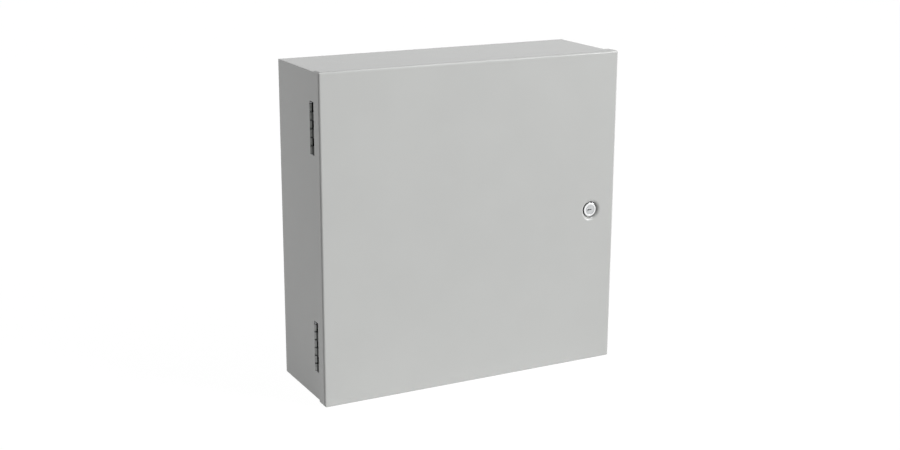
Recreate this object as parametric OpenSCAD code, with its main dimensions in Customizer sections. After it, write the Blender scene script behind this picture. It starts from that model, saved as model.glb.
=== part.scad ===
// Steel wall enclosure with a hinged door and a quarter-turn key lock.
// Origin: middle of the back face, on the wall.  +X right, +Z up, front towards -Y.
// Units: millimetres.

/* [Body] */
// Width of the body over its side walls
body_w = 508; // [400:1:800]
// Height of the body over its top and bottom walls
body_h = 508; // [400:1:800]
// Depth of the body, from the wall to the front lip
body_d = 165; // [120:1:300]
// Thickness of the body sheet
sheet_t = 1.5; // [1.2:0.1:2]
// Outside radius of the body's bends
body_bend_r = 2.5; // [2.2:0.1:4]
// Outside radius of the ground corner welds
body_weld_r = 1; // [0.4:0.1:1.4]
// Width of the lip folded in round the front opening
lip_w = 16; // [10:1:16]

/* [Door] */
// Thickness of the door sheet
door_t = 1.5; // [1.2:0.1:2]
// Depth of the door flange, from the front of the door to its back edge
flange_d = 20.8; // [15:0.1:24]
// Gap between the door flange and the body
door_gap = 1.2; // [1.1:0.1:1.6]
// Gap between the door and the front lip
door_rest = 1.5; // [1:0.1:2]
// Outside radius of the bend between door face and flange
door_bend_r = 3; // [2.4:0.1:4]
// Outside radius of the door's four corners, seen from the front
door_corner_r = 5; // [4.5:0.1:8]

/* [Hinges] */
// Length of one knuckle with its gap
knuckle_pitch = 12.7; // [10:0.1:16]
// Number of knuckles in one hinge, shared by the two leaves
knuckle_count = 6; // [4:2:8]
// Gap between two neighbouring knuckles
knuckle_gap = 0.4; // [0.2:0.05:0.6]
// Bevel round both ends of a knuckle
knuckle_bevel = 0.4; // [0.2:0.05:0.6]
// Diameter of the hinge pin
pin_d = 3.2; // [2.4:0.1:3.6]
// Radial clearance of the pin in the door's knuckles
pin_fit = 0.05; // [0.02:0.01:0.1]
// Thickness of a hinge leaf
leaf_t = 1.5; // [1:0.1:1.6]
// Depth of the door leaf's cut-outs, in front of the body leaf's knuckles
leaf_cutout = 8; // [0.6:0.1:10]
// Reach of the body leaf, from the pin to its back edge
body_leaf_reach = 28; // [20:1:40]
// Distance from the front of the door to the hinge pin
hinge_setback = 34.9; // [33:0.1:45]
// Distance from the body's top or bottom to the middle of a hinge
hinge_inset = 84.5; // [60:0.5:120]
// Clearance round the hinge in the side wall's notch, above and below
notch_gap = 1.8; // [1.2:0.1:2.5]

/* [Lock recess] */
// Distance from the body's right side to the middle of the lock
lock_inset = 40.5; // [39:0.5:60]
// Height of the lock above the middle of the door
lock_z = 0; // [-100:1:100]
// Diameter of the recess at the face of the door
dish_d = 34.5; // [32:0.5:36]
// Diameter of the recess at its floor
dish_floor_d = 26; // [24.5:0.5:28]
// Depth of the recess floor behind the face of the door
dish_depth = 6.5; // [5:0.1:8]
// Radius rolled on the rim of the recess
dish_edge_r = 2; // [2:0.1:3]

/* [Lock] */
// Diameter of the lock's head
head_d = 22.4; // [21:0.1:23]
// Thickness of the lock's head
head_t = 4.5; // [3:0.1:4.9]
// Radius of the head's edge
head_edge_r = 0.9; // [0.6:0.1:1]
// Diameter of the lock's threaded barrel
barrel_d = 18; // [16:0.1:19]
// Distance across the two flats of the barrel
barrel_flats = 16; // [15:0.1:17]
// Length of the barrel behind the recess floor's front
barrel_len = 14; // [12:0.1:20]
// Clearance of the barrel in its hole in the door
barrel_gap = 0.1; // [0.05:0.05:0.3]
// Diameter of the key plug
plug_d = 12; // [11:0.1:13]
// Radial clearance of the plug in the barrel
plug_fit = 0.05; // [0.02:0.01:0.1]
// Width of the keyway
keyway_w = 1.5; // [1.2:0.1:2]
// Length of the keyway
keyway_l = 8; // [7:0.1:8.6]
// Radius of the round well at one end of the keyway
keyway_well_r = 1.3; // [1:0.05:1.4]
// Thickness of the toothed washer behind the door
lock_washer_t = 0.8; // [0.6:0.1:1.2]
// Distance across the flats of the lock's nut
lock_nut_af = 24; // [22:0.5:25]
// Thickness of the lock's nut
lock_nut_t = 4.5; // [3:0.1:5]

/* [Cam] */
// Thickness of the cam
cam_t = 2; // [1.5:0.1:2.5]
// Width of the cam's arm
cam_w = 13; // [11:0.5:15]
// Diameter of the cam's hub
cam_hub_d = 17; // [16:0.5:18]
// Inside radius of the cam's bends
cam_bend_r = 1.5; // [1:0.1:2]
// Gap between the cam's tip and the back of the lip it catches
cam_lip_gap = 1; // [0.6:0.1:2]
// Gap between the cam's tip and the side wall when locked
cam_wall_gap = 5; // [3:0.5:6]
// Side of the square that drives the cam
drive_w = 7; // [6:0.1:8]
// Diameter of the screw that holds the cam
cam_screw_d = 4; // [3:0.1:5]

/* [Wall mounting] */
// Diameter of the wall mounting holes
wall_hole_d = 8; // [6:0.5:10]
// Distance from the body's sides to the wall mounting holes
wall_hole_inset = 29; // [26:0.5:31]

/* [Mounting panel] */
// Distance from the body's sides to the edge of the mounting panel
panel_inset = 38; // [37:0.5:60]
// Thickness of the mounting panel
panel_t = 2; // [1.5:0.1:3]
// Height of the studs' collars, which hold the panel off the back wall
panel_standoff = 12.7; // [8:0.1:25]
// Distance from the panel's edge to its studs
panel_stud_inset = 12; // [10:0.5:20]
// Radius of the mounting panel's corners
panel_corner_r = 4; // [2:0.5:8]

/* [Studs and nuts] */
// Diameter of the threaded studs
stud_d = 6.3; // [5:0.1:8]
// Diameter of the studs' collars
collar_d = 15; // [12:0.5:18]
// Thread length beyond the panel's face
stud_thread = 14; // [10:0.5:20]
// Clearance hole over a stud
stud_hole_d = 7.4; // [6.5:0.1:9]
// Distance across the flats of a stud's nut
nut_af = 11; // [10:0.5:13]
// Thickness of a stud's nut
nut_t = 5.5; // [4:0.1:6.5]
// Outside diameter of a stud's washer
washer_d = 14; // [12:0.5:18]
// Thickness of a stud's washer
washer_t = 1.2; // [0.8:0.1:2]
// Height of the collar on the two bonding studs
bond_collar = 4; // [2:0.5:8]
// Diameter of the collar on the two bonding studs
bond_collar_d = 10; // [9:0.5:12]
// Distance from the lip's edge to the door's bonding stud
bond_inset = 24; // [15:1:60]
// Height of the body's bonding stud below the middle of the body
bond_drop = 150; // [80:1:160]

/* [Hidden] */
$fn = 96;
eps = 0.01;
over = 5;

// Body, inside and out
inner_w = body_w - 2 * sheet_t;
inner_h = body_h - 2 * sheet_t;
open_w = body_w - 2 * lip_w;
open_h = body_h - 2 * lip_w;

// Door, inside and out
door_w = body_w + 2 * (door_gap + door_t);
door_h = body_h + 2 * (door_gap + door_t);
total_d = body_d + door_rest + door_t;
front_y = -total_d;

// Hinge axis and lengths
pin_r = pin_d / 2;
barrel_r = pin_r + pin_fit + leaf_t;
pin_x = -(body_w / 2 - sheet_t - leaf_t) - barrel_r;
pin_y = front_y + hinge_setback;
hinge_len = knuckle_pitch * knuckle_count;
hinge_z = body_h / 2 - hinge_inset;
swing_gap = 0.6;
notch_clear = 4;
notch_back = barrel_r + notch_clear;
weld_edge = 2;
leaf_corner_r = 2;
seam_w = 0.3;
seam_from = 0.7 * pin_r;
pin_head = 0.8;
pin_dome = 0.6;

// Recess: its wall is a cone, and its rim rolls over with a round edge
dish_slope = [dish_depth, dish_d / 2 - dish_floor_d / 2];
dish_normal = dish_slope / norm(dish_slope);
dish_edge = dish_d / 2 + dish_edge_r * (1 - dish_normal.y) / dish_normal.x;

// Lock, in depths behind the face of the door
lock_x = body_w / 2 - lock_inset;
head_front = dish_depth - head_t;
barrel_end = dish_depth + barrel_len;
washer_front = dish_depth + door_t;
nut_front = washer_front + lock_washer_t;
turn_gap = 0.3;
well_r = plug_d / 2 + 2.2;
well_t = 0.4;
mark_ring_r = (head_d / 2 - head_edge_r + well_r) / 2;
mark_r = 0.85;
mark_t = 0.8;
plug_sunk = 0.2;
plug_front = head_front + plug_sunk;
drive_short = 0.2;
keyway_x = -1.2;
cam_front = barrel_end + turn_gap;
cam_back = cam_front + cam_t;
tip_front = door_t + door_rest + sheet_t + cam_lip_gap;
tip_back = tip_front + cam_t;
cam_reach = lock_inset - sheet_t - cam_wall_gap;
riser_gap = 0.7;
riser_r = dish_edge + riser_gap;
cam_washer_t = 0.9;
cam_washer_d = drive_w + 4;
cam_washer_gap = 0.2;
cam_head_t = 2.6;
cam_head_d = 2 * cam_screw_d;
cam_head_r = 0.7 * cam_head_t;
cross_l = 0.55 * cam_head_d;
cross_w = 1;
screw_depth = 9;
keyway_depth = 5;

// Panel and its fasteners, in heights off the wall
panel_w = body_w - 2 * panel_inset;
panel_h = body_h - 2 * panel_inset;
panel_back = sheet_t + panel_standoff;
panel_front = panel_back + panel_t;
bond_x = -(panel_w / 2 + inner_w / 2) / 2;
door_bond_x = -(open_w / 2 - bond_inset);
door_bond_z = -(open_h / 2 - bond_inset);

// Shapes of nuts, threads and toothed washers
nut_bevel = 0.6;
thread_bevel = 0.15 * stud_d;
washer_teeth = 10;
lock_washer_teeth = 14;
lock_washer_d = lock_nut_af + 2;

// Colours
paint = "#c4c5c3";
zinc = "#a9adb0";
bare_steel = "#6d706e";
chrome = "#dfe1e2";
galvanised = "#b9bdbf";

// ---------- Outlines ----------

// Rectangle round its middle, with rounded corners
module round_rect(w, h, r) {
    square([w, h - 2 * r], center = true);
    square([w - 2 * r, h], center = true);
    for (x = [-1, 1], y = [-1, 1])
        translate([x * (w / 2 - r), y * (h / 2 - r)]) circle(r);
}

// Section of a folded sheet, w wide: from y = 0 at the back to -d at the front
module fold_section(w, d, r_back, r_front) {
    translate([-w / 2, -d + r_front]) square([w, d - r_front - r_back]);
    translate([-w / 2 + r_back, -r_back - eps]) square([w - 2 * r_back, r_back + eps]);
    translate([-w / 2 + r_front, -d]) square([w - 2 * r_front, r_front + eps]);
    for (x = [-1, 1]) {
        if (r_back > 0) translate([x * (w / 2 - r_back), -r_back]) circle(r_back);
        translate([x * (w / 2 - r_front), -d + r_front]) circle(r_front);
    }
}

// Ring with a bore, as for a washer or one knuckle
module ring(r_out, r_in) {
    difference() {
        circle(r_out);
        circle(r_in);
    }
}

// Half section of a disc, from its axis out, with the edge at y = t rounded
module disc_section(r, t, edge_r) {
    intersection() {
        square([r, t]);
        union() {
            square([r, t - edge_r]);
            square([r - edge_r, t]);
            translate([r - edge_r, t - edge_r]) circle(edge_r);
        }
    }
}

// ---------- Folded shells ----------

// Box folded in both directions, w by h, d deep; back and front bends have their own radii
module folded_box(w, h, d, r_back, r_front, r_corner) {
    intersection() {
        linear_extrude(h + 2 * over, center = true) fold_section(w, d, r_back, r_front);
        rotate([90, 0, 90]) linear_extrude(w + 2 * over, center = true)
            rotate(-90) fold_section(h, d, r_back, r_front);
        translate([0, over, 0]) rotate([90, 0, 0]) linear_extrude(d + 2 * over)
            round_rect(w, h, r_corner);
    }
}

// ---------- Places ----------

// From the plan of the back wall: local z runs forward, off the wall
module off_wall(x, z) {
    translate([x, 0, z]) rotate([90, 0, 0]) children();
}

// From the face of the door at the lock: local z runs back into the enclosure, local y down
module at_lock() {
    translate([lock_x, front_y, lock_z]) rotate([-90, 0, 0]) children();
}

// At the four corners of a rectangle on the back wall
module at_corners(w, h) {
    for (x = [-1, 1], z = [-1, 1]) off_wall(x * w / 2, z * h / 2) children();
}

// At one hinge, upper (side = 1) or lower (side = -1): local z runs along the pin
module at_hinge(side) {
    translate([pin_x, pin_y, side * hinge_z]) children();
}

// ---------- Fasteners ----------

// Nut with both faces chamfered
module hex_nut(af, t, bore_r) {
    corner_r = af / 2 / cos(30);
    bevel = nut_bevel * (corner_r - af / 2);
    difference() {
        intersection() {
            cylinder(h = t, r = corner_r, $fn = 6);
            rotate_extrude()
                polygon([[0, 0], [af / 2, 0], [corner_r, bevel],
                         [corner_r, t - bevel], [af / 2, t], [0, t]]);
        }
        translate([0, 0, -eps]) cylinder(h = t + 2 * eps, r = bore_r);
    }
}

// Flat washer
module flat_washer(d, t, bore_d) {
    linear_extrude(t) ring(d / 2, bore_d / 2);
}

// Lock washer with teeth round its rim
module toothed_washer(d, t, bore_d, teeth) {
    notch_w = PI * d / teeth / 2;
    notch_l = (d - bore_d) / 4;
    linear_extrude(t) difference() {
        ring(d / 2, bore_d / 2);
        for (i = [0 : teeth - 1])
            rotate(i * 360 / teeth) translate([d / 2, 0])
                square([2 * notch_l, notch_w], center = true);
    }
}

// Welded stud: a collar against the sheet, then the thread with a bevelled end
module welded_stud(collar_w, collar_h, thread_l) {
    thread_r = stud_d / 2;
    end = collar_h + thread_l;
    rotate_extrude() polygon([
        [0, 0], [collar_w / 2, 0], [collar_w / 2, collar_h], [thread_r, collar_h],
        [thread_r, end - thread_bevel], [thread_r - thread_bevel, end], [0, end]
    ]);
}

// ---------- Hinges ----------

// One rolled knuckle with its share of the leaf, its middle at the origin.
// The leaf's near face stands at u and runs off along +y; the seam is where the roll ends.
module knuckle(u, reach, bore_r, seam_side) {
    length = knuckle_pitch - knuckle_gap;
    half = length / 2;
    seam_x = seam_side > 0 ? u + leaf_t : u - seam_w;
    difference() {
        union() {
            rotate_extrude() polygon([
                [0, -half], [barrel_r - knuckle_bevel, -half], [barrel_r, knuckle_bevel - half],
                [barrel_r, half - knuckle_bevel], [barrel_r - knuckle_bevel, half], [0, half]
            ]);
            linear_extrude(length, center = true)
                translate([u, knuckle_bevel]) square([leaf_t, reach - knuckle_bevel]);
        }
        linear_extrude(length + 2 * over, center = true) {
            circle(bore_r);
            translate([seam_x, seam_from]) square([seam_w, barrel_r]);
        }
    }
}

// Leaf with every second knuckle, the others cut clear for the other leaf.
// first = 0 takes the topmost knuckle, first = 1 the next; cutout is how far they are cut clear.
module hinge_leaf(u, reach, bore_r, first, seam_side, cutout) {
    plate_from = barrel_r + cutout;
    for (i = [first : 2 : knuckle_count - 1]) {
        mid = hinge_len / 2 - (i + 0.5) * knuckle_pitch;
        translate([0, 0, mid]) knuckle(u, plate_from + eps, bore_r, seam_side);
    }
    translate([u, 0, 0]) rotate([90, 0, 90]) linear_extrude(leaf_t) intersection() {
        translate([plate_from, -hinge_len / 2]) square([reach - plate_from, hinge_len]);
        round_rect(2 * reach, hinge_len, leaf_corner_r);
    }
}

// Leaf welded inside the body's side wall
module hinge_body_leaf(side) {
    at_hinge(side)
        hinge_leaf(barrel_r - leaf_t, body_leaf_reach, pin_r, 0, -1, swing_gap);
}

// Leaf welded inside the door's flange, running forward from the pin
module hinge_door_leaf(side) {
    reach = hinge_setback - door_bend_r - weld_edge;
    u = -(body_w / 2 + door_gap) - pin_x;
    at_hinge(side) mirror([0, 1, 0])
        hinge_leaf(u, reach, pin_r + pin_fit, 1, 1, leaf_cutout);
}

// Pin with its two ends slightly domed
module hinge_pin(side) {
    tip = hinge_len / 2 + pin_head;
    at_hinge(side) rotate_extrude() polygon([
        [0, -tip], [pin_r - pin_dome, -tip], [pin_r, pin_dome - tip],
        [pin_r, tip - pin_dome], [pin_r - pin_dome, tip], [0, tip]
    ]);
}

// ---------- Enclosure ----------

// Folded body: back, four walls and the lip, with the hinge notches and the wall holes
module enclosure_body() {
    color(paint) difference() {
        folded_box(body_w, body_h, body_d, body_bend_r, body_bend_r, body_weld_r);
        body_cavity();
        front_opening();
        for (side = [-1, 1]) hinge_notch(side);
        at_corners(body_w - 2 * wall_hole_inset, body_h - 2 * wall_hole_inset)
            translate([0, 0, -over]) cylinder(h = 2 * over, d = wall_hole_d);
    }
}

// Inside of the body, one sheet in from its outside
module body_cavity() {
    inner_r = body_bend_r - sheet_t;
    translate([0, -sheet_t, 0])
        folded_box(inner_w, inner_h, body_d - 2 * sheet_t, inner_r, inner_r, body_weld_r / 2);
}

// Opening inside the lip
module front_opening() {
    depth = sheet_t + 2 * over;
    translate([0, -body_d + sheet_t + over, 0]) rotate([90, 0, 0])
        linear_extrude(depth) square([open_w, open_h], center = true);
}

// Notch in the left wall, open to the front, that the hinge barrel sits in
module hinge_notch(side) {
    w = over + sheet_t + eps;
    h = hinge_len + 2 * notch_gap;
    from = -body_d - over;
    at_back = pin_y + notch_back;
    translate([-body_w / 2 - over, from, side * hinge_z - h / 2])
        cube([w, at_back - from, h]);
}

// Four collar studs welded to the back wall
module panel_studs() {
    color(zinc) at_panel_studs() translate([0, 0, sheet_t])
        welded_stud(collar_d, panel_standoff, panel_t + stud_thread);
}

module at_panel_studs() {
    at_corners(panel_w - 2 * panel_stud_inset, panel_h - 2 * panel_stud_inset) children();
}

// Flat panel that the equipment is screwed to
module mounting_panel() {
    color(galvanised) difference() {
        off_wall(0, 0) translate([0, 0, panel_back])
            linear_extrude(panel_t) round_rect(panel_w, panel_h, panel_corner_r);
        at_panel_studs() cylinder(h = panel_front + over, d = stud_hole_d);
    }
}

module panel_washers() {
    color(zinc) at_panel_studs() translate([0, 0, panel_front])
        flat_washer(washer_d, washer_t, stud_hole_d);
}

module panel_nuts() {
    color(zinc) at_panel_studs() translate([0, 0, panel_front + washer_t])
        hex_nut(nut_af, nut_t, stud_d / 2);
}

// Bonding stud on the back wall, beside the panel
module ground_stud() {
    color(zinc) off_wall(bond_x, -bond_drop) translate([0, 0, sheet_t])
        welded_stud(bond_collar_d, bond_collar, stud_thread);
}

module ground_washer() {
    color(zinc) off_wall(bond_x, -bond_drop) translate([0, 0, sheet_t + bond_collar])
        toothed_washer(washer_d, washer_t, stud_hole_d, washer_teeth);
}

module ground_nut() {
    color(zinc) off_wall(bond_x, -bond_drop)
        translate([0, 0, sheet_t + bond_collar + washer_t]) hex_nut(nut_af, nut_t, stud_d / 2);
}

module hinge_body_leaf_upper() {
    color(bare_steel) hinge_body_leaf(1);
}

module hinge_body_leaf_lower() {
    color(bare_steel) hinge_body_leaf(-1);
}

module hinge_pin_upper() {
    color(zinc) hinge_pin(1);
}

module hinge_pin_lower() {
    color(zinc) hinge_pin(-1);
}

// ---------- Door ----------

// Folded door with the lock recess formed in its face
module door_panel() {
    color(paint) difference() {
        union() {
            door_pan();
            at_lock() rotate_extrude() dish_section(door_t);
        }
        at_lock() rotate_extrude() dish_section(0);
        at_lock() linear_extrude(dish_depth + door_t + over)
            barrel_section(barrel_gap);
    }
}

// Face and flange, folded back on all four sides
module door_pan() {
    inner_r = door_bend_r - door_t;
    inner_corner_r = door_corner_r - door_t;
    difference() {
        translate([0, front_y + flange_d, 0])
            folded_box(door_w, door_h, flange_d, 0, door_bend_r, door_corner_r);
        translate([0, front_y + flange_d + over, 0])
            folded_box(door_w - 2 * door_t, door_h - 2 * door_t, flange_d + over - door_t,
                       0, inner_r, inner_corner_r);
    }
}

// Section of the recess from its axis out, grown by the given amount towards the sheet's back.
// The wall is a cone, tangent to the round edge that rolls over the rim.
module dish_section(grow) {
    rim = [dish_edge, dish_edge_r];
    edge_r = dish_edge_r - grow;
    tangent = rim - edge_r * dish_normal;
    floor_r = dish_floor_d / 2 + grow * (1 - dish_normal.y) / dish_normal.x;
    face = grow > 0 ? 0 : -over;
    difference() {
        polygon([
            [0, face], [rim.x, face], rim, tangent,
            [floor_r, dish_depth + grow], [0, dish_depth + grow]
        ]);
        translate(rim) circle(edge_r);
    }
}

// Bonding stud on the back of the door
module door_bond_stud() {
    color(zinc) at_door_bond() welded_stud(bond_collar_d, bond_collar, stud_thread);
}

module door_bond_washer() {
    color(zinc) at_door_bond() translate([0, 0, bond_collar])
        toothed_washer(washer_d, washer_t, stud_hole_d, washer_teeth);
}

module door_bond_nut() {
    color(zinc) at_door_bond() translate([0, 0, bond_collar + washer_t])
        hex_nut(nut_af, nut_t, stud_d / 2);
}

// On the back of the door's face: local z runs back into the enclosure
module at_door_bond() {
    translate([door_bond_x, front_y + door_t, door_bond_z]) rotate([-90, 0, 0]) children();
}

module hinge_door_leaf_upper() {
    color(bare_steel) hinge_door_leaf(1);
}

module hinge_door_leaf_lower() {
    color(bare_steel) hinge_door_leaf(-1);
}

// ---------- Lock ----------

// Outline of the lock's barrel: round, with a flat on each side
module barrel_section(gap) {
    intersection() {
        circle(barrel_d / 2 + gap);
        square([barrel_d + 2 * over, barrel_flats + 2 * gap], center = true);
    }
}

// Fixed part of the lock: head with a rounded rim, and the barrel behind it
module lock_housing() {
    color(chrome) at_lock() difference() {
        union() {
            translate([0, 0, dish_depth]) mirror([0, 0, 1]) rotate_extrude()
                disc_section(head_d / 2, head_t, head_edge_r);
            translate([0, 0, dish_depth - eps]) linear_extrude(barrel_len + eps)
                barrel_section(0);
        }
        translate([0, 0, head_front - over]) cylinder(h = over + well_t, r = well_r);
        translate([0, 0, head_front - over])
            cylinder(h = barrel_end + 2 * over, r = plug_d / 2 + plug_fit);
        translate([mark_ring_r, 0, head_front - over]) cylinder(h = over + mark_t, r = mark_r);
    }
}

module lock_washer() {
    color(zinc) at_lock() translate([0, 0, washer_front])
        toothed_washer(lock_washer_d, lock_washer_t, barrel_d + 2 * barrel_gap,
                       lock_washer_teeth);
}

// Nut on the barrel, behind the door
module lock_nut() {
    color(zinc) at_lock() translate([0, 0, nut_front])
        hex_nut(lock_nut_af, lock_nut_t, barrel_d / 2 + barrel_gap);
}

// Key plug: turns in the barrel; the square at its back drives the cam
module lock_plug() {
    drive_l = cam_t - drive_short;
    color(chrome) at_lock() difference() {
        union() {
            translate([0, 0, plug_front]) cylinder(h = cam_front - plug_front, d = plug_d);
            translate([0, 0, cam_front - eps]) linear_extrude(drive_l + eps)
                square(drive_w, center = true);
        }
        translate([0, 0, plug_front - eps]) linear_extrude(keyway_depth) keyway_section();
        translate([0, 0, cam_back - screw_depth])
            cylinder(h = screw_depth + over, d = cam_screw_d);
    }
}

// Keyway: a flat slot with a round well at one end
module keyway_section() {
    translate([keyway_x, 0]) square([keyway_l, keyway_w], center = true);
    translate([keyway_x - keyway_l / 2 + keyway_well_r, 0]) circle(keyway_well_r);
}

// Cam: a hub on the plug, and an arm cranked forward to reach behind the lip.
// It hangs down when unlocked.
module lock_cam() {
    color(zinc) at_lock() difference() {
        intersection() {
            union() {
                translate([0, 0, cam_front]) cylinder(h = cam_t, d = cam_hub_d);
                rotate([0, 0, 90]) rotate([90, 0, 0])
                    linear_extrude(cam_w, center = true) cam_section();
            }
            cylinder(h = cam_back + over, r = cam_reach);
        }
        translate([0, 0, cam_front - over]) linear_extrude(cam_t + 2 * over)
            square(drive_w, center = true);
    }
}

// Side view of the cam's arm: distance from the plug's axis, and depth behind the door's face
module cam_section() {
    bend_r = cam_bend_r;
    outer_r = cam_bend_r + cam_t;
    translate([0, cam_front]) square([riser_r - bend_r, cam_t]);
    translate([riser_r - bend_r, cam_front - bend_r]) bend(bend_r, outer_r, 1, 1);
    translate([riser_r, tip_back + bend_r])
        square([cam_t, cam_front - tip_back - 2 * bend_r]);
    translate([riser_r + outer_r, tip_back + bend_r]) bend(bend_r, outer_r, -1, -1);
    translate([riser_r + outer_r, tip_front]) square([cam_reach - riser_r - outer_r + over, cam_t]);
}

// Quarter of a bend, in the quadrant towards (sx, sy)
module bend(inner_r, outer_r, sx, sy) {
    intersection() {
        ring(outer_r, inner_r);
        translate([sx > 0 ? 0 : -outer_r, sy > 0 ? 0 : -outer_r]) square(outer_r);
    }
}

module cam_washer() {
    color(zinc) at_lock() translate([0, 0, cam_back])
        flat_washer(cam_washer_d, cam_washer_t, cam_screw_d + 2 * cam_washer_gap);
}

// Screw with a rounded head and a cross recess
module cam_screw() {
    head_at = cam_back + cam_washer_t;
    color(zinc) at_lock() difference() {
        union() {
            translate([0, 0, cam_back - screw_depth])
                cylinder(h = screw_depth + cam_washer_t + eps, d = cam_screw_d);
            translate([0, 0, head_at]) rotate_extrude()
                disc_section(cam_head_d / 2, cam_head_t, cam_head_r);
        }
        for (turn = [0, 90])
            translate([0, 0, head_at + cam_head_t]) rotate(turn)
                cube([cross_l, cross_w, cam_head_t], center = true);
    }
}

enclosure_body();
panel_studs();
mounting_panel();
panel_washers();
panel_nuts();
ground_stud();
ground_washer();
ground_nut();
hinge_body_leaf_upper();
hinge_body_leaf_lower();
hinge_pin_upper();
hinge_pin_lower();
door_panel();
hinge_door_leaf_upper();
hinge_door_leaf_lower();
door_bond_stud();
door_bond_washer();
door_bond_nut();
lock_housing();
lock_washer();
lock_nut();
lock_plug();
lock_cam();
cam_washer();
cam_screw();
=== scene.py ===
"""Steel wall enclosure: finishes, small fittings, studio lights and the camera.

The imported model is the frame.  Every place and size comes from it, in metres:
+X right, +Z up, the door faces -Y and the back lies on the wall at Y = 0.
"""

import logging
import math
from dataclasses import dataclass, field
from enum import Enum
from typing import Callable, Iterable, Sequence

import bmesh
import bpy
from mathutils import Matrix, Vector


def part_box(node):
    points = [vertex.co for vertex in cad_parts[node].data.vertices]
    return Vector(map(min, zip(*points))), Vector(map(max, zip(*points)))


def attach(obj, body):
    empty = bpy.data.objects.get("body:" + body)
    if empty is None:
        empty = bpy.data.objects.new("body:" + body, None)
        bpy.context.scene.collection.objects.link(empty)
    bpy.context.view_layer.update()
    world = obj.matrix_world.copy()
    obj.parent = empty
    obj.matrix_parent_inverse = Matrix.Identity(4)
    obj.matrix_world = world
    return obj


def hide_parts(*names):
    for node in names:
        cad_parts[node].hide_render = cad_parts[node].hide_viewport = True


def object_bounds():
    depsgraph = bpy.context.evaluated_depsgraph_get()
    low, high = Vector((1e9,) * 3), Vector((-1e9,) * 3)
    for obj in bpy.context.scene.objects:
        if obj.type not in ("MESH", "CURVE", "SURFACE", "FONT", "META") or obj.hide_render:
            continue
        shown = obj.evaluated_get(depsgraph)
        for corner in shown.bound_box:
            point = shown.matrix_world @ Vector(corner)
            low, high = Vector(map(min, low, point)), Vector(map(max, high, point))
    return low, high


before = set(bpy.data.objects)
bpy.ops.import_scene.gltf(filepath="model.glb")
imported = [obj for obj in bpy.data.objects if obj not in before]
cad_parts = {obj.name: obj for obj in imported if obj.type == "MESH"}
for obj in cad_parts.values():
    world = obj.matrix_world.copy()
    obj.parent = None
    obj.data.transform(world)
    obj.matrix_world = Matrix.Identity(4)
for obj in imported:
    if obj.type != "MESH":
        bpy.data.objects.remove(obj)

CAD_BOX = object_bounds()
LOG = logging.getLogger("enclosure")
MM = 0.001
SHARP_ANGLE = math.radians(35.0)
SAME_POINT = 0.001 * MM

Number = int | float
Band = tuple[float, float]
Colour = tuple[float, float, float]


# --------------------------------------------------------------------------- shader maths


class Socket:
    """An output socket of a node tree that can be used in Python expressions."""

    def __init__(self, tree: "Nodes", socket: bpy.types.NodeSocket) -> None:
        """Wraps one output socket of the given tree."""
        self.tree = tree
        self.socket = socket

    def _math(self, operation: str, *values: "Socket | Number", clamp: bool = False) -> "Socket":
        """Adds one Math node and returns its output."""
        settings = {"operation": operation, "use_clamp": clamp}
        return self.tree.add("ShaderNodeMath", settings, dict(enumerate(values)))

    def __add__(self, other: "Socket | Number") -> "Socket":
        """Sum with a number or another value."""
        return self._math("ADD", self, other)

    __radd__ = __add__

    def __mul__(self, other: "Socket | Number") -> "Socket":
        """Product with a number or another value."""
        return self._math("MULTIPLY", self, other)

    __rmul__ = __mul__

    def __sub__(self, other: "Socket | Number") -> "Socket":
        """Difference, self less other."""
        return self._math("SUBTRACT", self, other)

    def __rsub__(self, other: "Socket | Number") -> "Socket":
        """Difference, other less self."""
        return self._math("SUBTRACT", other, self)

    def __truediv__(self, other: "Socket | Number") -> "Socket":
        """Quotient, self over other."""
        return self._math("DIVIDE", self, other)

    def __pow__(self, other: "Socket | Number") -> "Socket":
        """Power, self to the other."""
        return self._math("POWER", self, other)

    def __abs__(self) -> "Socket":
        """Value without its sign."""
        return self._math("ABSOLUTE", self)

    def larger(self, other: "Socket | Number") -> "Socket":
        """The larger of two values."""
        return self._math("MAXIMUM", self, other)

    def clamped(self) -> "Socket":
        """The value held between 0 and 1."""
        return self._math("ADD", self, 0.0, clamp=True)

    def centred(self) -> "Socket":
        """A value from 0 to 1, moved to swing both ways about 0."""
        return self - 0.5

    def wave(self) -> "Socket":
        """Triangle wave between 0 and 1 that repeats once per unit."""
        return self._math("PINGPONG", self * 2.0, 1.0)

    def between(self, low: Number, high: Number) -> "Socket":
        """Smooth step: 0 at low, 1 at high.

        Args:
            low: Value that gives 0.
            high: Value that gives 1.

        Returns:
            The stepped value.
        """
        settings = {"interpolation_type": "SMOOTHSTEP"}
        return self.tree.add("ShaderNodeMapRange", settings, {"Value": self, 1: low, 2: high})


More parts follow.
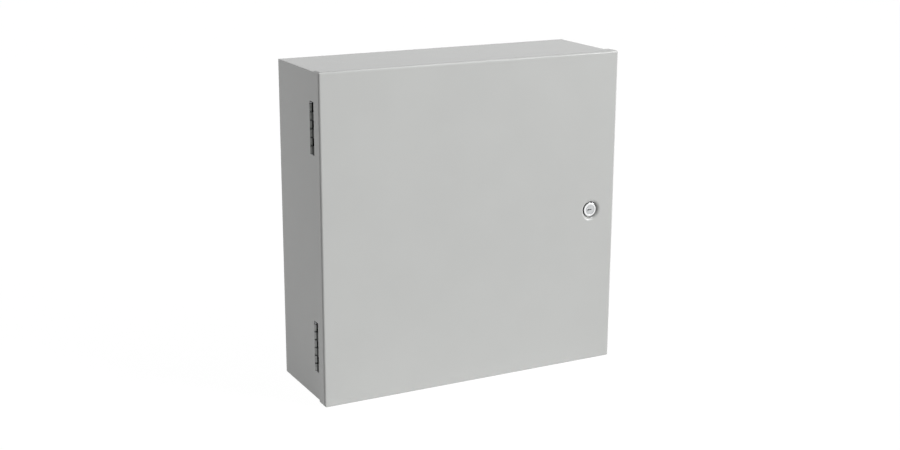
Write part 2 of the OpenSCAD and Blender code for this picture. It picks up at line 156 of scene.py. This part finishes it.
class Nodes:
    """Builds the node tree of one material or of the world."""

    def __init__(self, owner: bpy.types.Material | bpy.types.World) -> None:
        """Starts an empty tree.

        Args:
            owner: The material or world that the tree belongs to.
        """
        owner.use_nodes = True
        self.tree = owner.node_tree
        self.tree.nodes.clear()

    def add(
        self,
        kind: str,
        settings: dict[str, object] | None = None,
        inputs: dict[str | int, object] | None = None,
        output: str | int = 0,
    ) -> Socket | None:
        """Adds any node.

        Args:
            kind: Node type, such as ShaderNodeTexNoise.
            settings: Properties of the node, which are set first.
            inputs: Values or sockets by the input's name or number.
            output: Which output to return.

        Returns:
            The chosen output, wrapped, or None for a node with no output.
        """
        node = self.tree.nodes.new(kind)
        for name, value in (settings or {}).items():
            setattr(node, name, value)
        for key, value in (inputs or {}).items():
            if isinstance(value, Socket):
                self.tree.links.new(value.socket, node.inputs[key])
            else:
                node.inputs[key].default_value = value
        return Socket(self, node.outputs[output]) if node.outputs else None

    def mix(self, factor: Socket | Number, low: object, high: object) -> Socket:
        """Mixes two colours, each a socket or a plain colour.

        Args:
            factor: 0 gives low, 1 gives high.
            low: First colour.
            high: Second colour.

        Returns:
            The mixed colour.
        """
        def full(value: object) -> object:
            """A plain colour gets its alpha."""
            return value if isinstance(value, Socket) else (*value, 1.0)

        # Inputs 6 and 7 and output 2 are the node's colours; the others are for plain values.
        settings = {"data_type": "RGBA"}
        return self.add("ShaderNodeMix", settings, {0: factor, 6: full(low), 7: full(high)}, 2)

    def place(self, scale: Sequence[float] = (1.0, 1.0, 1.0)) -> Socket:
        """Place on the object in metres.

        Args:
            scale: What each axis is multiplied by.

        Returns:
            The place as a vector.
        """
        spot = self.add("ShaderNodeTexCoord", output="Object")
        if tuple(scale) == (1.0, 1.0, 1.0):
            return spot
        return self.add("ShaderNodeVectorMath", {"operation": "MULTIPLY"}, {0: spot, 1: scale})

    def axes(self) -> tuple[Socket, ...]:
        """Place on the object along X, Y and Z, each as a value in metres."""
        spot = self.place()
        return tuple(self.add("ShaderNodeSeparateXYZ", {}, {0: spot}, axis) for axis in "XYZ")

    def noise(
        self, size: float, detail: float, stretch: Sequence[float] = (1.0, 1.0, 1.0)
    ) -> Socket:
        """Soft noise from 0 to 1.

        Args:
            size: Width of one feature in metres.
            detail: Octaves of finer noise.
            stretch: How much finer the noise is along each axis.

        Returns:
            The noise value.
        """
        inputs = {"Vector": self.place(stretch), "Scale": 1.0 / size, "Detail": detail}
        return self.add("ShaderNodeTexNoise", {}, inputs)

    def bump(self, height: Socket, depth: float) -> Socket:
        """Bump from a height between 0 and 1, depth metres deep."""
        return self.add("ShaderNodeBump", {}, {"Height": height, "Distance": depth})

    def finish(self, shader: Socket) -> None:
        """Links the shader to the material's output."""
        self.add("ShaderNodeOutputMaterial", {}, {"Surface": shader})


# --------------------------------------------------------------------------- finishes


@dataclass(frozen=True)
class PowderCoat:
    """Satin powder coat on steel sheet: fine orange peel, faint cloudiness."""

    name: str = "grey_powder_coat"
    colour: Colour = (0.565, 0.572, 0.560)
    darkest: float = 0.99
    lightest: float = 1.008
    tone_band: Band = (0.35, 0.65)
    cloud_size: float = 90 * MM
    cloud_share: float = 0.7
    grain_size: float = 0.35 * MM
    peel_size: float = 1.6 * MM
    peel_depth: float = 0.010 * MM
    peel_share: float = 0.8
    roughness: float = 0.25
    cloud_roughness: float = 0.05
    grain_roughness: float = 0.06
    refraction: float = 1.5

    def build(self) -> bpy.types.Material:
        """Makes the material.

        Returns:
            The new material.
        """
        material = bpy.data.materials.new(self.name)
        nodes = Nodes(material)
        cloud = nodes.noise(self.cloud_size, detail=2.0)
        peel = nodes.noise(self.peel_size, detail=1.5)
        grain = nodes.noise(self.grain_size, detail=1.0)
        darker = tuple(self.darkest * c for c in self.colour)
        lighter = tuple(self.lightest * c for c in self.colour)
        tone = self.cloud_share * cloud + (1.0 - self.cloud_share) * grain
        height = self.peel_share * peel + (1.0 - self.peel_share) * grain
        uneven = self.cloud_roughness * cloud.centred() + self.grain_roughness * grain.centred()
        nodes.finish(nodes.add("ShaderNodeBsdfPrincipled", {}, {
            "Base Color": nodes.mix(tone.between(*self.tone_band), darker, lighter),
            "Roughness": self.roughness + uneven,
            "IOR": self.refraction,
            "Normal": nodes.bump(height, self.peel_depth),
        }))
        return material


@dataclass(frozen=True)
class ZincPlate:
    """Zinc-plated steel with brush lines, blotches and a little tarnish."""

    name: str = "zinc_plate"
    bright: Colour = (0.56, 0.58, 0.61)
    dull: Colour = (0.38, 0.40, 0.43)
    tarnish: float = 0.4
    blotch_size: float = 6 * MM
    blotch_band: Band = (0.45, 0.7)
    line_size: float = 0.15 * MM
    line_stretch: float = 0.04
    line_depth: float = 0.01 * MM
    roughness: float = 0.32
    stain_roughness: float = 0.18
    line_roughness: float = 0.1

    def build(self) -> bpy.types.Material:
        """Makes the material.

        Returns:
            The new material.
        """
        material = bpy.data.materials.new(self.name)
        nodes = Nodes(material)
        lines = nodes.noise(self.line_size, 2.0, (1.0, 1.0, self.line_stretch))
        blotch = nodes.noise(self.blotch_size, detail=4.0)
        stain = blotch.between(*self.blotch_band) * self.tarnish
        uneven = self.stain_roughness * stain + self.line_roughness * lines.centred()
        nodes.finish(nodes.add("ShaderNodeBsdfPrincipled", {}, {
            "Base Color": nodes.mix(stain, self.bright, self.dull),
            "Metallic": 1.0,
            "Roughness": self.roughness + uneven,
            "Normal": nodes.bump(lines, self.line_depth),
        }))
        return material


@dataclass(frozen=True)
class HingeSteel:
    """Dark steel, lighter towards the bottom, with oil stains, painted shade on the leaves beyond
    the barrel, and grime and painted shade where knuckles meet.
    """

    name: str = "hinge_steel"
    # Barrel tone, lighter towards the bottom and darker towards the top.
    barrel_lower: Colour = (0.225, 0.230, 0.228)
    barrel_upper: Colour = (0.125, 0.129, 0.125)
    barrel_fade_reach: float = 100 * MM
    # Dark tone for oil stains, and for the painted shade on the leaves and knuckle joints.
    oil_stain_and_shade: Colour = (0.024, 0.025, 0.024)
    barrel_r: float = 3.2 * MM
    leaf_fade: float = 0.4 * MM
    knuckle_pitch: float = 12.7 * MM
    joint_band: Band = (0.08, 0.30)
    # Strength of the grime and painted shade at each knuckle joint.
    joint_grime_and_shade: float = 0.75
    blotch_size: float = 5 * MM
    blotch_band: Band = (0.45, 0.7)
    blotch_share: float = 0.35
    grain_size: float = 0.15 * MM
    grain_stretch: float = 0.06
    grain_depth: float = 0.01 * MM
    roughness: float = 0.40
    stain_roughness: float = 0.12
    grain_roughness: float = 0.10

    def build(self) -> bpy.types.Material:
        """Makes the material, laid out round the hinge pins' axis.

        Returns:
            The new material.
        """
        low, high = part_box("hinge_pin_upper")
        middle = (low + high) / 2
        material = bpy.data.materials.new(self.name)
        nodes = Nodes(material)
        across, depth, height = nodes.axes()
        side, back = across - middle.x, depth - middle.y
        radius = (side * side + back * back) ** 0.5
        # Painted shade: beyond the barrel's radius the leaves turn to the dark tone, as they lie
        # in shade behind the door's flange.
        leaf = radius.between(self.barrel_r, self.barrel_r + self.leaf_fade)
        blotch = nodes.noise(self.blotch_size, detail=4.0).between(*self.blotch_band)
        grain = nodes.noise(self.grain_size, 2.0, (1.0, 1.0, self.grain_stretch))
        # Grime and painted shade: a darker band at each joint between knuckles.
        from_joint = ((abs(height) - middle.z) / self.knuckle_pitch).wave()
        grime_and_shade = 1.0 - from_joint.between(*self.joint_band)
        # This mask holds painted shade (leaves, knuckle joints) as well as oil blotches and joint
        # grime.
        stain = (leaf + self.blotch_share * blotch + self.joint_grime_and_shade * grime_and_shade).clamped()
        # The barrel's tone is lighter towards the bottom.
        upward = height.between(-self.barrel_fade_reach, self.barrel_fade_reach)
        barrel_tone = nodes.mix(upward, self.barrel_lower, self.barrel_upper)
        uneven = self.stain_roughness * stain + self.grain_roughness * grain.centred()
        nodes.finish(nodes.add("ShaderNodeBsdfPrincipled", {}, {
            "Base Color": nodes.mix(stain, barrel_tone, self.oil_stain_and_shade),
            "Metallic": 1.0,
            "Roughness": self.roughness + uneven,
            "Normal": nodes.bump(grain, self.grain_depth),
        }))
        return material


@dataclass(frozen=True)
class LockPlate:
    """Lock metal: a polished rim, a satin face inside it, a side wall darkened with painted shade
    and a thread on the barrel.
    """

    name: str = "lock_chrome"
    polished: Colour = (0.93, 0.935, 0.94)
    satin: Colour = (0.50, 0.51, 0.515)
    # Painted shade: the head's side wall, down in the recess, gets this dark colour.
    side: Colour = (0.17, 0.173, 0.177)
    face_r: float = 8.3 * MM
    side_r: float = 11.1 * MM
    side_band: Band = (0.8 * MM, 1.0 * MM)
    edge: float = 0.1 * MM
    thread_r: float = 8.2 * MM
    thread_band: Band = (4.6 * MM, 5.0 * MM)
    pitch: float = 1.5 * MM
    thread_depth: float = 0.5 * MM
    blotch_size: float = 5 * MM
    blotch_share: float = 0.12
    ring_size: float = 0.12 * MM
    roughness: float = 0.10
    satin_roughness: float = 0.12
    side_roughness: float = 0.25
    uneven_roughness: float = 0.05

    def build(self) -> bpy.types.Material:
        """Makes the material, laid out round the lock's own axis.

        The bands are depths behind the head's front.

        Returns:
            The new material.
        """
        low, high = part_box("lock_housing")
        middle = (low + high) / 2
        material = bpy.data.materials.new(self.name)
        nodes = Nodes(material)
        across, depth, up = nodes.axes()
        side, rise = across - middle.x, up - middle.z
        radius = (side * side + rise * rise) ** 0.5
        inside = 1.0 - radius.between(self.face_r - self.edge, self.face_r + self.edge)
        on_side = depth.between(*(low.y + behind for behind in self.side_band))
        flank = radius.between(self.side_r - self.edge, self.side_r) * on_side
        on_barrel = depth.between(*(low.y + behind for behind in self.thread_band))
        on_thread = radius.between(self.thread_r, self.thread_r + 2 * self.edge) * on_barrel
        turn = nodes.add("ShaderNodeMath", {"operation": "ARCTAN2"}, {0: rise, 1: side}) / math.tau
        groove = (depth / self.pitch + turn).wave() * on_thread
        across_rings = {"W": radius / self.ring_size, "Scale": 1.0}
        rings = nodes.add("ShaderNodeTexNoise", {"noise_dimensions": "1D"}, across_rings)
        blotch = nodes.noise(self.blotch_size, detail=3.0)
        front = (inside + self.blotch_share * blotch).clamped()
        metal = nodes.mix(front, self.polished, self.satin)
        uneven = self.uneven_roughness * (blotch + rings * inside)
        matt = self.satin_roughness * inside + self.side_roughness * flank
        nodes.finish(nodes.add("ShaderNodeBsdfPrincipled", {}, {
            # The side wall takes the painted shade colour.
            "Base Color": nodes.mix(flank, metal, self.side),
            "Metallic": 1.0,
            "Roughness": self.roughness + matt + uneven,
            "Normal": nodes.bump(groove, self.thread_depth),
        }))
        return material


@dataclass(frozen=True)
class Galvanised:
    """Galvanised sheet with soft crystal flakes."""

    name: str = "galvanised_sheet"
    bright: Colour = (0.56, 0.58, 0.59)
    dull: Colour = (0.42, 0.44, 0.46)
    flake_size: float = 9 * MM
    flake_share: float = 0.75
    soil_size: float = 40 * MM
    metal: float = 0.9
    roughness: float = 0.48
    flake_roughness: float = 0.14

    def build(self) -> bpy.types.Material:
        """Makes the material.

        Returns:
            The new material.
        """
        material = bpy.data.materials.new(self.name)
        nodes = Nodes(material)
        inputs = {"Vector": nodes.place(), "Scale": 1.0 / self.flake_size}
        cell = nodes.add("ShaderNodeTexVoronoi", {}, inputs, "Color")
        shade = nodes.add("ShaderNodeSeparateColor", {}, {0: cell})
        soil = nodes.noise(self.soil_size, detail=3.0)
        tone = (self.flake_share * shade + (1.0 - self.flake_share) * soil).clamped()
        nodes.finish(nodes.add("ShaderNodeBsdfPrincipled", {}, {
            "Base Color": nodes.mix(tone, self.dull, self.bright),
            "Metallic": self.metal,
            "Roughness": self.roughness + self.flake_roughness * shade.centred(),
        }))
        return material


class Finish(Enum):
    """The finishes on this object."""

    PAINT = PowderCoat()
    HINGE = HingeSteel()
    ZINC = ZincPlate()
    CHROME = LockPlate()
    GALVANISED = Galvanised()


class Paints:
    """Builds each finish once and dresses nodes and pieces in it."""

    def __init__(self) -> None:
        """Starts with nothing built."""
        self._made: dict[Finish, bpy.types.Material] = {}

    def get(self, finish: Finish) -> bpy.types.Material:
        """The material of a finish, built on first use.

        Args:
            finish: The finish.

        Returns:
            Its material.
        """
        if finish not in self._made:
            self._made[finish] = finish.value.build()
        return self._made[finish]

    def dress(self, names: Iterable[str], finish: Finish) -> None:
        """Gives carried-over nodes a finish.

        Args:
            names: The nodes' names.
            finish: The finish they get.
        """
        for name in names:
            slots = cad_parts[name].data.materials
            slots.clear()
            slots.append(self.get(finish))
            LOG.info("%s dressed in %s", name, finish.value.name)


# --------------------------------------------------------------------------- mesh building


class Sketch:
    """Vertices and faces gathered for one new piece."""

    def __init__(self) -> None:
        """Starts empty."""
        self.points: list[Vector] = []
        self.faces: list[tuple[int, ...]] = []

    def skin(self, rings: Sequence[Sequence[Vector]]) -> None:
        """Skins closed rings of equal count and caps both ends.

        Args:
            rings: Rings of points, each wound the same way, from one end to the other.
        """
        start, count = len(self.points), len(rings[0])
        for ring in rings:
            self.points.extend(ring)
        for row in range(len(rings) - 1):
            here = start + row * count
            for i in range(count):
                j = (i + 1) % count
                self.faces.append((here + i, here + j, here + count + j, here + count + i))
        self.faces.append(tuple(reversed(range(start, start + count))))
        last = start + (len(rings) - 1) * count
        self.faces.append(tuple(range(last, last + count)))

    def lathe(
        self, section: Sequence[tuple[float, float]], axis_x: float, axis_z: float, around: int
    ) -> None:
        """Turns a closed section round an axis along Y into a ring.

        Args:
            section: Points of the section, each a radius and a place along Y.
            axis_x: Where the axis stands along X.
            axis_z: Where the axis stands along Z.
            around: Steps round the axis.
        """
        start, count = len(self.points), len(section)
        for step in range(around):
            angle = math.tau * step / around
            for radius, along in section:
                x, z = axis_x + radius * math.cos(angle), axis_z + radius * math.sin(angle)
                self.points.append(Vector((x, along, z)))
        for step in range(around):
            here, there = start + step * count, start + (step + 1) % around * count
            for i in range(count):
                j = (i + 1) % count
                self.faces.append((here + i, here + j, there + j, there + i))

    def piece(
        self, name: str, body: str, slot: str, finish: bpy.types.Material
    ) -> bpy.types.Object:
        """Makes the piece and has it ride on its body.

        Args:
            name: The piece's name.
            body: The body it rides on.
            slot: Not used.
            finish: Its material.

        Returns:
            The new object.
        """
        mesh = bpy.data.meshes.new(name)
        mesh.from_pydata([tuple(point) for point in self.points], [], self.faces)
        build = bmesh.new()
        build.from_mesh(mesh)
        bmesh.ops.recalc_face_normals(build, faces=build.faces)
        build.to_mesh(mesh)
        build.free()
        mesh.materials.append(finish)
        mesh.shade_smooth()
        mesh.set_sharp_from_angle(angle=SHARP_ANGLE)
        obj = bpy.data.objects.new(name, mesh)
        bpy.context.scene.collection.objects.link(obj)
        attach(obj, body)
        LOG.info("%s: %d faces", name, len(mesh.polygons))
        return obj


def loose_boxes(name: str) -> list[tuple[Vector, Vector]]:
    """Boxes of a carried-over node's separate solids.

    Args:
        name: The node's name.

    Returns:
        The lowest and highest corner of each solid, always in the same order.
    """
    work = bmesh.new()
    work.from_mesh(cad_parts[name].data)
    bmesh.ops.remove_doubles(work, verts=work.verts, dist=SAME_POINT)
    left, boxes = set(work.verts), []
    while left:
        front = [left.pop()]
        found = []
        while front:
            vert = front.pop()
            found.append(vert.co.copy())
            for edge in vert.link_edges:
                other = edge.other_vert(vert)
                if other in left:
                    left.remove(other)
                    front.append(other)
        boxes.append((Vector(map(min, zip(*found))), Vector(map(max, zip(*found)))))
    work.free()
    return sorted(boxes, key=lambda box: tuple(box[0]))


@dataclass
class WeldedStud:
    """A collar stud with a weld fillet at its foot and a real helical thread."""

    centre: tuple[float, float]
    foot: float
    shoulder: float
    tip: float
    collar_r: float
    thread_r: float = 3.15 * MM
    pitch: float = 1.27 * MM
    depth: float = 0.62 * MM
    flank_slope: float = 2.6
    crest: float = 0.25
    fillet: float = 1.1 * MM
    fillet_steps: int = 4
    collar_edge: float = 0.35 * MM
    tip_bevel: float = 0.95 * MM
    around: int = 32
    per_turn: int = 8

    def draw(self, sketch: Sketch) -> None:
        """Adds the stud to a sketch; foot, shoulder and tip are depths along Y.

        Args:
            sketch: Where it goes.
        """
        way = 1.0 if self.tip > self.foot else -1.0
        collar = abs(self.shoulder - self.foot)
        length = abs(self.tip - self.foot)
        rings = []
        for step in range(self.fillet_steps + 1):
            turn = math.pi / 2 * step / self.fillet_steps
            flared = self.collar_r + self.fillet * (1 - math.sin(turn))
            rise = self.fillet * (1 - math.cos(turn))
            rings.append(self._ring(way, rise, lambda _, r=flared: r))
        edge = self.collar_edge
        rings.append(self._ring(way, collar - edge, lambda _: self.collar_r))
        rings.append(self._ring(way, collar, lambda _: self.collar_r - edge))
        rows = round((length - collar) / self.pitch * self.per_turn)
        for row in range(rows + 1):
            along = collar + (length - collar) * row / rows
            rings.append(self._ring(
                way, along, lambda angle, a=along: self._thread(angle, a, collar, length)
            ))
        sketch.skin(rings)

    def _ring(self, way: float, along: float, radius: Callable[[float], float]) -> list[Vector]:
        """One ring of points round the stud.

        Args:
            way: 1 where the stud points along +Y, -1 where it points along -Y.
            along: Distance from the foot.
            radius: The radius at an angle.

        Returns:
            The points.
        """
        ring = []
        for step in range(self.around):
            angle = math.tau * step / self.around
            r = radius(angle)
            x, z = self.centre[0] + r * math.cos(angle), self.centre[1] + r * math.sin(angle)
            ring.append(Vector((x, self.foot + way * along, z)))
        return ring

    def _thread(self, angle: float, along: float, collar: float, length: float) -> float:
        """Radius of the thread, which runs out at the collar and is bevelled at its tip.

        Args:
            angle: Angle round the stud.
            along: Distance from the foot.
            collar: Distance from the foot to the collar's shoulder.
            length: Distance from the foot to the tip.

        Returns:
            The radius.
        """
        phase = (along / self.pitch - angle / math.tau) % 1.0
        flank = min(max(abs(phase - 0.5) * self.flank_slope - self.crest, 0.0), 1.0)
        run_out = min((along - collar) / self.pitch, 1.0)
        bevel = max(0.0, self.tip_bevel - (length - along))
        return self.thread_r - max(self.depth * flank * run_out, bevel)


@dataclass
class WeldBead:
    """A bead of weld with its ripples, along an upright edge in an inside corner."""

    corner: tuple[float, float]
    toward: tuple[float, float]
    low: float
    high: float
    size: float = 1.5 * MM
    ripple: float = 1.3 * MM
    ripple_share: float = 0.16
    wobble_share: float = 0.06
    wobble_rate: float = 9.7
    end_power: int = 14
    end_least: float = 0.05
    across: int = 8
    per_ripple: int = 6

    def draw(self, sketch: Sketch) -> None:
        """Adds the bead to a sketch.

        Args:
            sketch: Where it goes.
        """
        rows = round((self.high - self.low) / self.ripple * self.per_ripple)
        rings = []
        for row in range(rows + 1):
            share = row / rows
            height = self.low + (self.high - self.low) * share
            phase = (height / self.ripple) % 1.0
            wobble = self.wobble_share * math.sin(self.wobble_rate * height / self.ripple)
            crown = 1.0 - self.ripple_share * (1.0 - math.sin(math.pi * phase))
            ends = math.sqrt(max(self.end_least, 1.0 - abs(2 * share - 1) ** self.end_power))
            swell = self.size * ends * (crown + wobble)
            ring = [Vector((*self.corner, height))]
            for step in range(self.across + 1):
                turn = math.pi / 2 * step / self.across
                side = self.corner[0] + self.toward[0] * swell * math.cos(turn)
                back = self.corner[1] + self.toward[1] * swell * math.sin(turn)
                ring.append(Vector((side, back, height)))
            rings.append(ring)
        sketch.skin(rings)


# --------------------------------------------------------------------------- the studio


@dataclass
class SoftBox:
    """An oblong soft light aimed at the middle of the object, its width along X."""

    name: str
    toward: tuple[float, float, float]
    distance: float
    width: float
    length: float
    power: float

    def build(self, target: Vector) -> None:
        """Hangs the light.

        Args:
            target: The point it faces.
        """
        lamp = bpy.data.lights.new(self.name, "AREA")
        lamp.shape = "RECTANGLE"
        lamp.size = self.width
        lamp.size_y = self.length
        lamp.energy = self.power
        obj = bpy.data.objects.new(self.name, lamp)
        away = Vector(self.toward).normalized()
        across = (Vector((1.0, 0.0, 0.0)) - away * away.x).normalized()
        turn = Matrix((across, away.cross(across), away)).transposed()
        obj.matrix_world = Matrix.Translation(target + away * self.distance) @ turn.to_4x4()
        bpy.context.scene.collection.objects.link(obj)


@dataclass
class DistantLight:
    """A far, even light, as from a large window across the room."""

    name: str
    toward: tuple[float, float, float]
    strength: float
    spread: float

    def build(self, _target: Vector) -> None:
        """Hangs the light; its place doesn't matter, only its direction.

        Args:
            _target: Unused, as the light comes from far away.
        """
        lamp = bpy.data.lights.new(self.name, "SUN")
        lamp.energy = self.strength
        lamp.angle = math.radians(self.spread)
        obj = bpy.data.objects.new(self.name, lamp)
        obj.rotation_euler = Vector(self.toward).to_track_quat("Z", "Y").to_euler()
        bpy.context.scene.collection.objects.link(obj)


@dataclass
class Studio:
    """Floor, surroundings, lights and camera."""

    lens: float = 57.05
    sensor: float = 36.0
    azimuth: float = -27.63
    elevation: float = 15.17
    roll: float = 0.25
    eye: tuple[float, float, float] = (-1.0253, -2.0432, 0.5798)
    floor_size: float = 60.0
    floor_tone: float = 0.85
    floor_glow: float = 1.07
    glow_share: float = 0.92
    ambient_front: float = 0.08
    ambient_back: float = 0.16
    ambient_band: Band = (-0.35, 0.45)
    lights: list[SoftBox | DistantLight] = field(default_factory=lambda: [
        DistantLight("key", (0.66, -0.73, 0.19), 2.42, 20.0),
        SoftBox("overhead", (0.36, -0.36, 0.86), 2.2, 0.50, 1.30, 13.2),
        SoftBox("side", (-0.78, 0.62, 0.12), 3.0, 1.0, 1.0, 6.3),
        DistantLight("back", (0.0, 1.0, 0.04), 0.85, 12.0),
    ])

    def build(self) -> None:
        """Sets up the whole studio."""
        low, high = CAD_BOX
        middle = (low + high) / 2
        for light in self.lights:
            light.build(middle)
        self._camera()
        self._floor(low.z)
        self._world()
        bpy.context.scene.view_settings.view_transform = "Standard"

    def _camera(self) -> None:
        """Places the camera and makes it the scene's own."""
        data = bpy.data.cameras.new("camera")
        data.lens = self.lens
        data.sensor_width = self.sensor
        cam = bpy.data.objects.new("camera", data)
        turn, tilt = math.radians(self.azimuth), math.radians(self.elevation)
        level = math.cos(tilt)
        back = Vector((math.sin(turn) * level, -math.cos(turn) * level, math.sin(tilt)))
        aim = back.to_track_quat("Z", "Y").to_matrix()
        cam.matrix_world = Matrix.Translation(self.eye) @ (
            aim @ Matrix.Rotation(math.radians(self.roll), 3, "Z")
        ).to_4x4()
        bpy.context.scene.collection.objects.link(cam)
        bpy.context.scene.camera = cam

    def _floor(self, height: float) -> None:
        """Lays a pale floor that keeps the object's shadow.

        Args:
            height: The floor's height, at the object's foot.
        """
        mesh = bpy.data.meshes.new("floor")
        half = self.floor_size / 2
        corners = ((-half, -half), (half, -half), (half, half), (-half, half))
        mesh.from_pydata([(x, y, height) for x, y in corners], [], [(0, 1, 2, 3)])
        obj = bpy.data.objects.new("floor", mesh)
        bpy.context.scene.collection.objects.link(obj)
        material = bpy.data.materials.new("pale_floor")
        nodes = Nodes(material)
        pale = (self.floor_tone, self.floor_tone, self.floor_tone, 1.0)
        matt = nodes.add("ShaderNodeBsdfDiffuse", {}, {"Color": pale})
        glow = nodes.add("ShaderNodeEmission", {}, {
            "Color": (1.0, 1.0, 1.0, 1.0), "Strength": self.floor_glow,
        })
        seen = self._backdrop_rays(nodes) * self.glow_share
        nodes.finish(nodes.add("ShaderNodeMixShader", {}, {0: seen, 1: matt, 2: glow}))
        mesh.materials.append(material)

    @staticmethod
    def _backdrop_rays(nodes: Nodes) -> Socket:
        """Tells the rays that should find a white background.

        Args:
            nodes: The tree that asks.

        Returns:
            1 for those rays, else 0.
        """
        kinds = ("Is Camera Ray", "Is Glossy Ray", "Is Transmission Ray")
        rays = [nodes.add("ShaderNodeLightPath", output=kind) for kind in kinds]
        return (rays[0] + rays[1] + rays[2]).clamped()

    def _world(self) -> None:
        """White to the camera; to the object, bright behind and dim in front."""
        world = bpy.data.worlds.new("studio")
        bpy.context.scene.world = world
        nodes = Nodes(world)
        way = nodes.add("ShaderNodeTexCoord", output="Generated")
        depth = nodes.add("ShaderNodeSeparateXYZ", {}, {0: way}, "Y")
        behind = depth.between(*self.ambient_band)
        room = self.ambient_front + (self.ambient_back - self.ambient_front) * behind
        light = nodes.add("ShaderNodeBackground", {}, {
            "Color": (1.0, 1.0, 1.0, 1.0), "Strength": room.larger(self._backdrop_rays(nodes)),
        })
        nodes.add("ShaderNodeOutputWorld", {}, {"Surface": light})


# --------------------------------------------------------------------------- sub-assemblies


def replace_studs(node: str, body: str, shoulder: float, paints: Paints) -> None:
    """Stands threaded studs in for a node's plain ones.

    Args:
        node: The node of plain studs.
        body: The body they ride on.
        shoulder: Depth of the collars' shoulder.
        paints: The finishes.
    """
    sketch = Sketch()
    for low, high in loose_boxes(node):
        middle = (low + high) / 2
        outward = abs(shoulder - low.y) > abs(shoulder - high.y)
        foot, tip = (high.y, low.y) if outward else (low.y, high.y)
        stud = WeldedStud((middle.x, middle.z), foot, shoulder, tip, (high.x - low.x) / 2)
        stud.draw(sketch)
    piece = sketch.piece(f"{node}_threaded", body, "zinc_plate", paints.get(Finish.ZINC))
    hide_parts(node)


@dataclass
class Enclosure:
    """The body, its panel and fittings."""

    paints: Paints

    def build(self) -> None:
        """Dresses the body and what is fixed to it."""
        self.paints.dress(["enclosure_body"], Finish.PAINT)
        self.paints.dress(["mounting_panel"], Finish.GALVANISED)
        self.paints.dress(["panel_studs", "panel_washers", "panel_nuts"], Finish.ZINC)
        self.paints.dress(["ground_stud", "ground_washer", "ground_nut"], Finish.ZINC)
        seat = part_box("mounting_panel")[1].y
        replace_studs("panel_studs", "enclosure", seat, self.paints)
        replace_studs("ground_stud", "enclosure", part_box("ground_washer")[1].y, self.paints)


@dataclass
class Hinges:
    """Both hinges, with their leaves, pins and welds."""

    paints: Paints
    sheet: float = 1.5 * MM
    wall_gap: float = 1.2 * MM
    weld_end: float = 3 * MM

    def build(self) -> None:
        """Dresses the leaves and pins, and welds each leaf down."""
        for place in ("upper", "lower"):
            leaves = [f"hinge_body_leaf_{place}", f"hinge_door_leaf_{place}"]
            self.paints.dress(leaves, Finish.HINGE)
            self.paints.dress([f"hinge_pin_{place}"], Finish.ZINC)
            self._weld(f"hinge_body_leaf_{place}", "enclosure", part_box(leaves[0])[1].y, 1.0)
            self._weld(f"hinge_door_leaf_{place}", "door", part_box(leaves[1])[0].y, -1.0)

    def _weld(self, leaf: str, body: str, edge: float, way: float) -> None:
        """Runs a bead down the leaf's far edge, against the sheet it lies on.

        Args:
            leaf: The leaf's node.
            body: The body it belongs to.
            edge: Depth of the leaf's far edge.
            way: 1 where the bead lies behind that edge, -1 where it lies in front.
        """
        low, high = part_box(leaf)
        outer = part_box("door_panel")[0].x + self.sheet
        inner = outer + self.wall_gap + self.sheet
        sheet_face = inner if body == "enclosure" else outer
        start, stop = low.z + self.weld_end, high.z - self.weld_end
        sketch = Sketch()
        WeldBead((sheet_face, edge), (1.0, way), start, stop).draw(sketch)
        sketch.piece(f"{leaf}_weld", body, "hinge_steel", self.paints.get(Finish.HINGE))


@dataclass
class Door:
    """The door and its bonding stud."""

    paints: Paints

    def build(self) -> None:
        """Dresses the door and its fittings."""
        self.paints.dress(["door_panel"], Finish.PAINT)
        self.paints.dress(["door_bond_stud", "door_bond_washer", "door_bond_nut"], Finish.ZINC)
        replace_studs("door_bond_stud", "door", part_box("door_bond_washer")[0].y, self.paints)


@dataclass
class RecessRim:
    """The rolled rim of the pressed recess, between the door's face and the recess's cone."""

    paints: Paints
    lip_r: float = 18.332 * MM
    foot_r: float = 13.0 * MM
    depth: float = 6.5 * MM
    cone_r: float = 16.658 * MM
    cone_depth: float = 0.906 * MM
    rolled_r: float = 2.0 * MM
    steps: int = 20
    cone_steps: int = 5
    around: int = 144

    def build(self) -> None:
        """Lays the rim in the recess, against its cone."""
        low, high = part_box("lock_housing")
        axis_x, axis_z = (low.x + high.x) / 2, (low.z + high.z) / 2
        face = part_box("door_panel")[0].y
        section = [(radius, face + down) for radius, down in self._section()]
        sketch = Sketch()
        sketch.lathe(section, axis_x, axis_z, self.around)
        sketch.piece("lock_recess_rim", "door", "grey_paint", self.paints.get(Finish.PAINT))

    def _section(self) -> list[tuple[float, float]]:
        """Section of the rim.

        Returns:
            Its points, each a radius and a depth behind the door's face.
        """
        bend = self.lip_r - self.foot_r
        points = []
        for step in range(self.steps + 1):
            turn = math.pi / 2 * step / self.steps
            points.append((self.lip_r - bend * math.sin(turn), bend * (1 - math.cos(turn))))
        points += [(self.foot_r, self.depth), (self.cone_r, self.cone_depth)]
        full = math.asin((self.lip_r - self.cone_r) / self.rolled_r)
        for step in range(self.cone_steps - 1, 0, -1):
            turn = full * step / self.cone_steps
            inward, down = self.rolled_r * math.sin(turn), self.rolled_r * (1 - math.cos(turn))
            points.append((self.lip_r - inward, down))
        return points


@dataclass
class Lock:
    """The quarter-turn key lock."""

    paints: Paints

    def build(self) -> None:
        """Dresses the lock."""
        RecessRim(self.paints).build()
        self.paints.dress(["lock_housing", "lock_plug"], Finish.CHROME)
        self.paints.dress(["lock_washer", "lock_nut"], Finish.ZINC)
        self.paints.dress(["lock_cam", "cam_washer", "cam_screw"], Finish.ZINC)


def main() -> None:
    """Builds the studio, then dresses each sub-assembly."""
    logging.basicConfig(level=logging.INFO, format="%(name)s: %(message)s")
    Studio().build()
    paints = Paints()
    for part in (Enclosure(paints), Hinges(paints), Door(paints), Lock(paints)):
        part.build()
        LOG.info("%s done", type(part).__name__)


if __name__ == "__main__":
    main()
